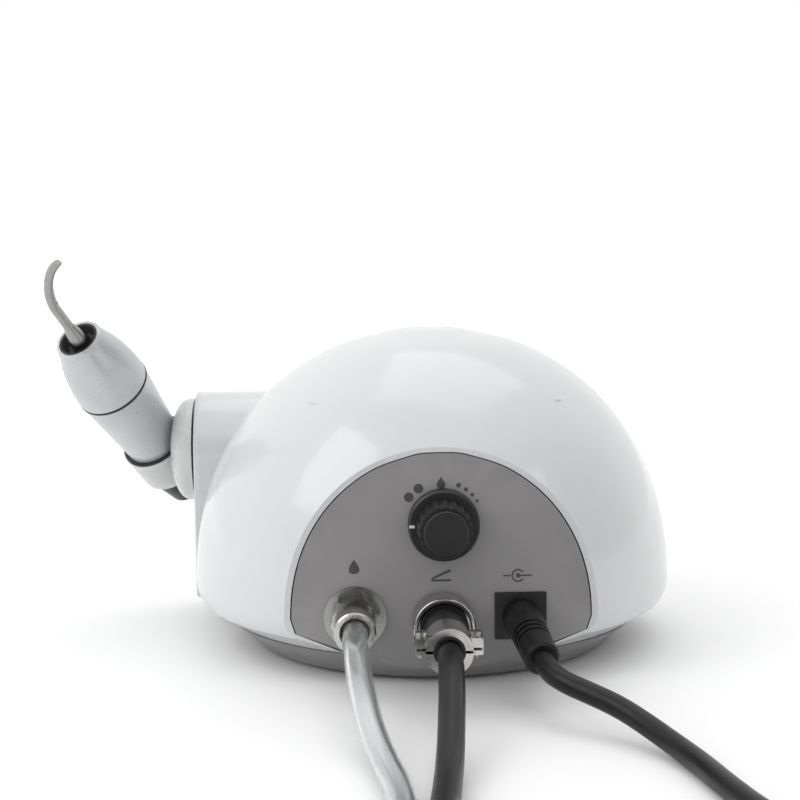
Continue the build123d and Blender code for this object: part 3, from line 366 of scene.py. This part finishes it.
# the look of each material slot: its name, colour and roughness, then what makes it uneven
LOOKS = {
    "white_gloss": finish("white_shell", (0.66, 0.675, 0.682), 0.2, coat=0.5, spread=0.012,
                          patch=0.05, grain=0.05, grain_size=0.0011, dust=0.05),
    "panel_grey": finish("grey_panel", (0.235, 0.228, 0.232), 0.4, spread=0.05, patch=0.03,
                         grain=0.35, grain_size=0.0007, wear_and_edge_highlight=0.4, dust=0.12),
    "dark_rubber": finish("black_rubber", (0.02, 0.02, 0.021), 0.62, spread=0.2, grain=0.4),
    "steel": finish("steel", (0.36, 0.36, 0.35), 0.22, metal=1.0, spread=0.06, patch=0.008,
                    grain=0.25, stretch=(1, 1, 6), wear_and_edge_highlight=0.2, dust=0.3),
    "circuit_green": finish("circuit_board", (0.02, 0.16, 0.06), 0.45, spread=0.3, patch=0.004),
    "aluminium": finish("aluminium", (0.6, 0.6, 0.62), 0.4, metal=1.0, stretch=(1, 8, 1)),
    "black_plastic": finish("black_plastic", (0.014, 0.013, 0.014), 0.4, spread=0.2, patch=0.006,
                            grain=0.45, grain_size=0.0004, wear_and_edge_highlight=0.35),
    "brass": finish("plated_brass", (0.38, 0.36, 0.33), 0.22, metal=1.0, spread=0.08, patch=0.004,
                    grain=0.3, grain_size=0.0003, wear_and_edge_highlight=0.2, dust=0.3),
    "clear_tube": clear("clear_hose", (0.93, 0.95, 0.95), 0.07),
    "satin_white": finish("satin_white", (0.56, 0.575, 0.59), 0.3, metal=0.35, spread=0.04,
                          patch=0.012, grain=0.2, grain_size=0.0004, dust=0.05),
    "chrome": finish("chrome", (0.5, 0.49, 0.48), 0.12, metal=1.0, spread=0.07, patch=0.004,
                     grain=0.25, grain_size=0.0003, wear_and_edge_highlight=0.2, dust=0.35, rough_spread=0.07),
    "ceramic_white": finish("ceramic", (0.75, 0.73, 0.68), 0.5, spread=0.05, patch=0.003),
    "cable_black": finish("black_cable", (0.01, 0.01, 0.011), 0.34, spread=0.15, patch=0.01,
                          grain=0.3, grain_size=0.0008, dust=0.2, shine=0.28),
    "fascia_blue": finish("fascia", (0.32, 0.44, 0.55), 0.3, coat=0.4, spread=0.06, patch=0.01),
    "window_black": finish("window", (0.01, 0.01, 0.014), 0.08, coat=1.0, spread=0.1),
    "light_lens": finish("light_lens", (0.1, 0.5, 0.16), 0.2, coat=0.6, spread=0.15, patch=0.001),
    "key_grey": finish("key_rubber", (0.3, 0.32, 0.35), 0.5, spread=0.08, patch=0.003, wear_and_edge_highlight=0.3),
    "pedal_grey": finish("pedal_grey", (0.09, 0.09, 0.095), 0.5, spread=0.12, grain=0.5, wear_and_edge_highlight=0.4),
    "hub_white": finish("hub_white", (0.6, 0.61, 0.61), 0.3, spread=0.03, patch=0.01, wear_and_edge_highlight=0.2),
}
# nodes that are painted or moulded in another look than their slot's
OWN_LOOKS = {
    "joint_ring": "dark_rubber",
    "side_plate": "hub_white",
    "friction_washers": "dark_rubber",
    "holder_cup": "hub_white",
    "tail_connector": "cable_black",
}

for part in frame["record"]["subparts"]:
    shown = nodes[part["node"]]
    shown.data.materials.clear()
    look = OWN_LOOKS.get(part["node"], part["material_slot"])
    shown.data.materials.append(LOOKS[look])


# ---- pieces that the CAD model leaves plain ----
def link_mesh(name, mesh_maker, look, body):
    """A new piece from a bmesh, with its material, riding on a body."""
    mesh = bpy.data.meshes.new(name)
    mesh_maker.to_mesh(mesh)
    mesh_maker.free()
    piece = linked(name, mesh)
    piece.data.materials.append(look)
    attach(piece, body)
    return piece


def add_slab(maker, outline, front, height):
    """Adds a thin raised shape to a bmesh.

    The outline is of (x, z) points in millimetres. It starts at y = front and stands out along -Y.
    """
    base = [maker.verts.new(mm(x, front, z)) for x, z in outline]
    face = maker.faces.new(base)
    grown = bmesh.ops.extrude_face_region(maker, geom=[face])
    moved = [part for part in grown["geom"] if isinstance(part, bmesh.types.BMVert)]
    bmesh.ops.translate(maker, vec=mm(0, -height, 0), verts=moved)


def disc(x, z, radius):
    """The outline of a disc."""
    steps = 28
    turns = [2 * math.pi * step / steps for step in range(steps)]
    return [(x + radius * math.cos(turn), z + radius * math.sin(turn)) for turn in turns]


def drop(x, z, size):
    """The outline of a water drop with its tip up."""
    steps = 36
    outline = []
    for step in range(1, steps):
        turn = 2 * math.pi * step / steps
        side = 0.62 * size * math.sin(turn) * math.sin(turn / 2) ** 1.5
        outline.append((x + side, z + 0.6 * size * math.cos(turn)))
    return outline


def arc_band(x, z, radius, width, start, stop):
    """The outline of a band along a circle between two angles in degrees."""
    steps = 24
    turns = [math.radians(start + (stop - start) * step / steps) for step in range(steps + 1)]
    outer = [(x + radius * math.cos(turn), z + radius * math.sin(turn)) for turn in turns]
    inside = radius - width
    inner = [(x + inside * math.cos(turn), z + inside * math.sin(turn)) for turn in turns]
    return outer + inner[::-1]


PANEL_Y = -54.8
INK_SINK = 0.01
INK_T = 0.06
# around the knob: two large dots, a drop and four falling dots
MARKS = [
    disc(-8.1, 49.3, 1.25),
    disc(-5.6, 51.5, 1.25),
    drop(0.2, 53.0, 2.6),
    disc(4.7, 52.2, 0.62),
    disc(6.6, 51.1, 0.55),
    disc(8.2, 49.7, 0.48),
    disc(9.4, 48.1, 0.4),
    # a drop over the water inlet
    drop(-22.4, 31.4, 3.2),
    # a jack's contacts over the power socket
    disc(19.9, 28.4, 0.6),
    arc_band(19.9, 28.4, 1.75, 0.45, 35, 325),
    [(20.3, 28.2), (23.4, 28.2), (23.4, 28.6), (20.3, 28.6)],
    [(16.0, 28.2), (17.9, 28.2), (17.9, 28.6), (16.0, 28.6)],
    # a pedal over the foot socket
    [(-2.6, 27.2), (2.6, 27.2), (2.6, 27.7), (-2.6, 27.7)],
    [(-2.6, 28.1), (2.2, 30.4), (2.6, 29.8), (-2.2, 27.7)],
]

ink = finish("printed_ink", (0.075, 0.073, 0.075), 0.5, spread=0.15, patch=0.002)
marks = bmesh.new()
for outline in MARKS:
    add_slab(marks, outline, PANEL_Y + INK_SINK, INK_T)
bmesh.ops.recalc_face_normals(marks, faces=marks.faces)
link_mesh("panel_marks", marks, ink, "unit")

KNOB_X, KNOB_Z = 0.7, 42.4
KNOB_GAP = 0.7
KNOB_SKIRT = 3.6
KNOB_FACE = PANEL_Y - KNOB_GAP - KNOB_SKIRT
INDEX = [(-8.9, -0.35), (-7.5, -0.35), (-7.5, 0.35), (-8.9, 0.35)]
INDEX_T = 0.07
index = bmesh.new()
index_outline = [(KNOB_X + x, KNOB_Z + z) for x, z in INDEX]
add_slab(index, index_outline, KNOB_FACE + INK_SINK, INDEX_T)
bmesh.ops.recalc_face_normals(index, faces=index.faces)
index_look = finish("index_white", (0.75, 0.75, 0.74), 0.45, spread=0.05, patch=0.001)
link_mesh("knob_index", index, index_look, "knob")


LATHE_STEPS = 48


def lathe(profile, foot, way):
    """A turned shape: (radius, distance along way) in millimetres, closed by its own profile."""
    way = Vector(way).normalized()
    side = way.orthogonal().normalized()
    maker = bmesh.new()
    rings = []
    for radius, along in profile:
        ring = []
        for step in range(LATHE_STEPS):
            turn = Matrix.Rotation(2 * math.pi * step / LATHE_STEPS, 3, way)
            ring.append(maker.verts.new((Vector(foot) + way * along + turn @ side * radius) * MM))
        rings.append(ring)
    for near, far in zip(rings, rings[1:] + rings[:1]):
        for step in range(LATHE_STEPS):
            after = (step + 1) % LATHE_STEPS
            maker.faces.new((near[step], near[after], far[after], far[step]))
    bmesh.ops.recalc_face_normals(maker, faces=maker.faces)
    for face in maker.faces:
        face.smooth = True
    return maker


RELIEF_LENGTH = 12
RELIEF_RIBS = 4
RIB_DEEP = 0.7
RIB_SHAPE = ((0.0, 0), (0.55, 0), (0.6, RIB_DEEP), (0.95, RIB_DEEP))


def strain_relief(name, foot, cord_r, root_r):
    """A tapered sleeve with ribs, moulded onto a cord where it enters a housing."""
    profile = [(cord_r - 0.2, 0)]
    for rib in range(RELIEF_RIBS):
        for share, deep in RIB_SHAPE:
            along = (rib + share) / RELIEF_RIBS
            radius = root_r + (cord_r + 0.4 - root_r) * along
            profile.append((max(cord_r + 0.15, radius - deep), along * RELIEF_LENGTH))
    profile += [(cord_r + 0.3, RELIEF_LENGTH), (cord_r - 0.2, RELIEF_LENGTH)]
    sleeve = lathe(profile, foot, (0, 1, 0))
    return link_mesh(name, sleeve, LOOKS["cable_black"], "unit")


pedal_relief = strain_relief("pedal_strain_relief", FOOT_TAIL[-1], FOOT_R, 4.7)
adaptor_relief = strain_relief("adaptor_strain_relief", POWER_TAIL[-1], POWER_R, 4.0)

# ---- pedal spring, as wire ----
SPRING_X, SPRING_Y = -40.0, -333.0
SPRING_LOW, SPRING_HIGH = 15.5, 27.3
SPRING_R = 4.3
SPRING_TURNS = 5
SPRING_STEPS = 16
WIRE_R = 0.55
spring_points = []
for step in range(SPRING_TURNS * SPRING_STEPS + 1):
    turn = 2 * math.pi * step / SPRING_STEPS
    share = step / (SPRING_TURNS * SPRING_STEPS)
    spring_points.append(
        (
            SPRING_X + SPRING_R * math.cos(turn),
            SPRING_Y + SPRING_R * math.sin(turn),
            SPRING_LOW + (SPRING_HIGH - SPRING_LOW) * share,
        )
    )
wire = soft_line("spring_wire", spring_points, WIRE_R)
bpy.context.view_layer.update()
seen_wire = wire.evaluated_get(bpy.context.evaluated_depsgraph_get())
spring_mesh = bpy.data.meshes.new_from_object(seen_wire)
spring_mesh.name = "pedal_wire_spring"
bpy.data.objects.remove(wire)
spring = linked("pedal_wire_spring", spring_mesh)
spring.data.materials.clear()
spring.data.materials.append(LOOKS["steel"])
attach(spring, "unit")
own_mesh(spring)
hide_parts("pedal_spring")

# ---- cords: looks and what they are ----
wall = hose.modifiers.new("wall", "SOLIDIFY")
wall.thickness = HOSE_WALL * MM
wall.offset = -1
for cord, slot, shapes in (
    (hose, "clear_tube", ("hose_tube", "hose_coil")),
    (foot_lead, "cable_black", ("foot_cable_tube", "foot_cable_coil")),
    (power_lead, "cable_black", ("power_lead_tube", "power_lead_coil")),
):
    cord.data.materials.append(LOOKS[slot])
    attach(cord, "unit")
    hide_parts(*shapes)

# ---- floor and light ----
FLOOR_HALF = 6
FLOOR_GREY = 0.95
FLOOR_ROUGH = 0.8
GLOW_START, GLOW_STOP = 0.4, 1.2
GLOW_STRENGTH = 0.35

floor_maker = bmesh.new()
bmesh.ops.create_grid(floor_maker, x_segments=1, y_segments=1, size=FLOOR_HALF)
floor_mesh = bpy.data.meshes.new("floor")
floor_maker.to_mesh(floor_mesh)
floor_maker.free()
floor = linked("floor", floor_mesh)
floor_look = Wiring("floor")
floor_look.shader.inputs["Base Color"].default_value = (FLOOR_GREY, FLOOR_GREY, FLOOR_GREY, 1)
floor_look.shader.inputs["Roughness"].default_value = FLOOR_ROUGH
# far from the object the floor glows a little, so that it ends in the same white as the background
floor_look.shader.inputs["Emission Color"].default_value = (1, 1, 1, 1)
distance = floor_look.add("ShaderNodeVectorMath", operation="LENGTH")
floor_look.join(floor_look.place, distance.inputs[0])
glow = floor_look.ranged(distance.outputs["Value"], 0, GLOW_STRENGTH, GLOW_START, GLOW_STOP)
floor_look.join(glow, floor_look.shader.inputs["Emission Strength"])
floor.data.materials.append(floor_look.material)

world = bpy.data.worlds.new("studio")
world.use_nodes = True
sky_nodes = world.node_tree.nodes
sky_links = world.node_tree.links
sky = sky_nodes["Background"]
sky.inputs["Color"].default_value = (1, 1, 1, 1)
direction = sky_nodes.new("ShaderNodeTexCoord").outputs["Generated"]


def dark_patch(towards, edge, middle, least):
    """A soft dark patch of sky, for the metal and the gloss to reflect.

    edge and middle are cosines of the angle from the patch's centre, and least is what is left
    of the sky's strength in its middle.
    """
    facing = sky_nodes.new("ShaderNodeVectorMath")
    facing.operation = "DOT_PRODUCT"
    facing.inputs[1].default_value = towards
    shade = sky_nodes.new("ShaderNodeMapRange")
    shade.interpolation_type = "SMOOTHSTEP"
    shade.inputs["From Min"].default_value = edge
    shade.inputs["From Max"].default_value = middle
    shade.inputs["To Min"].default_value = 1.0
    shade.inputs["To Max"].default_value = least
    sky_links.new(direction, facing.inputs[0])
    sky_links.new(facing.outputs["Value"], shade.inputs["Value"])
    return shade.outputs["Result"]


sky_strength = sky_nodes.new("ShaderNodeMath")
sky_strength.operation = "MULTIPLY"
panel_side = dark_patch((0.1, -0.975, 0.2), 0.86, 0.97, 0.1)
right_side = dark_patch((0.93, -0.3, 0.2), 0.6, 0.98, 0.4)
sky_links.new(panel_side, sky_strength.inputs[0])
sky_links.new(right_side, sky_strength.inputs[1])
sky_links.new(sky_strength.outputs["Value"], sky.inputs["Strength"])
bpy.context.scene.world = world
bpy.context.scene.view_settings.view_transform = "Standard"

LIGHT_TARGET = Vector((0, 0, 0.04))


def softbox(name, place, size, power):
    """A soft rectangular light that faces the object. size is in metres, power in watts."""
    light = bpy.data.lights.new(name, "AREA")
    light.shape = "RECTANGLE"
    light.size, light.size_y = size
    light.energy = power
    lamp = linked(name, light)
    lamp.location = place
    lamp.rotation_euler = (LIGHT_TARGET - Vector(place)).to_track_quat("-Z", "Y").to_euler()


softbox("left_box", (-0.75, -0.35, 0.75), (0.5, 0.7), 2.2)
softbox("top_box", (0.1, 0.25, 0.95), (0.7, 0.7), 1.2)
softbox("right_box", (0.8, -0.5, 0.45), (0.25, 0.6), 0.6)
